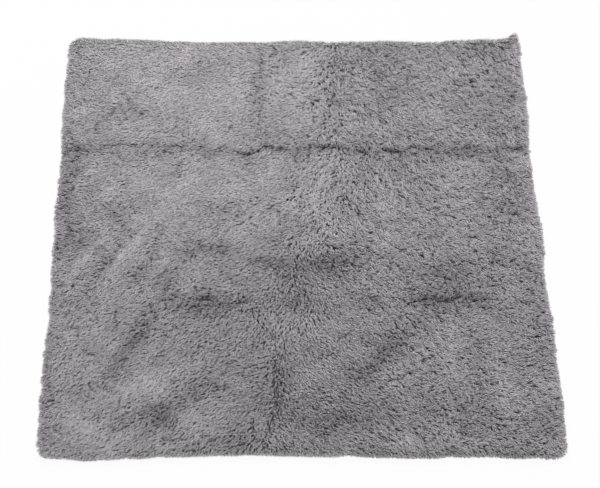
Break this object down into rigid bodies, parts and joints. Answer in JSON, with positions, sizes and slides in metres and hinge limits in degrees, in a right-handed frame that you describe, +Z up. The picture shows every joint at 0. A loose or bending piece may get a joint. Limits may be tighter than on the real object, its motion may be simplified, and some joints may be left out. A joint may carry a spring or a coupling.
{
  "type": "fleece cleaning cloth",
  "caption": "Square grey plush microfibre cleaning cloth, long pile on its face, short pile on its back, edgeless cut, with pressed creases that fold it in thirds.",
  "frame": {"origin": "middle of the square, on the surface that the cloth lies on", "axes": "+Z up through the cloth from its back pile to its face pile, +X to the right along the pressed creases, +Y away from the viewer across them"},
  "size_m": [0.405, 0.405, 0.008],
  "materials": {
    "face_pile": "matte",
    "back_pile": "matte",
    "ground_knit": "matte"
  },
  "bodies": {
    "middle_third": {"middle_back_pile": "back_pile", "middle_ground_knit": "ground_knit", "middle_face_pile": "face_pile"},
    "near_third": {"near_back_pile": "back_pile", "near_ground_knit": "ground_knit", "near_face_pile": "face_pile"},
    "far_third": {"far_back_pile": "back_pile", "far_ground_knit": "ground_knit", "far_face_pile": "face_pile"}
  },
  "joints": [
    {"name": "near_fold", "type": "hinge", "parent": "middle_third", "child": "near_third", "pos_m": [0, -0.067, 0.0083], "axis": [-1, 0, 0], "range_deg": [0, 179.8]},
    {"name": "far_fold", "type": "hinge", "parent": "middle_third", "child": "far_third", "pos_m": [0, 0.079, 0.0128], "axis": [1, 0, 0], "range_deg": [0, 180]}
  ]
}
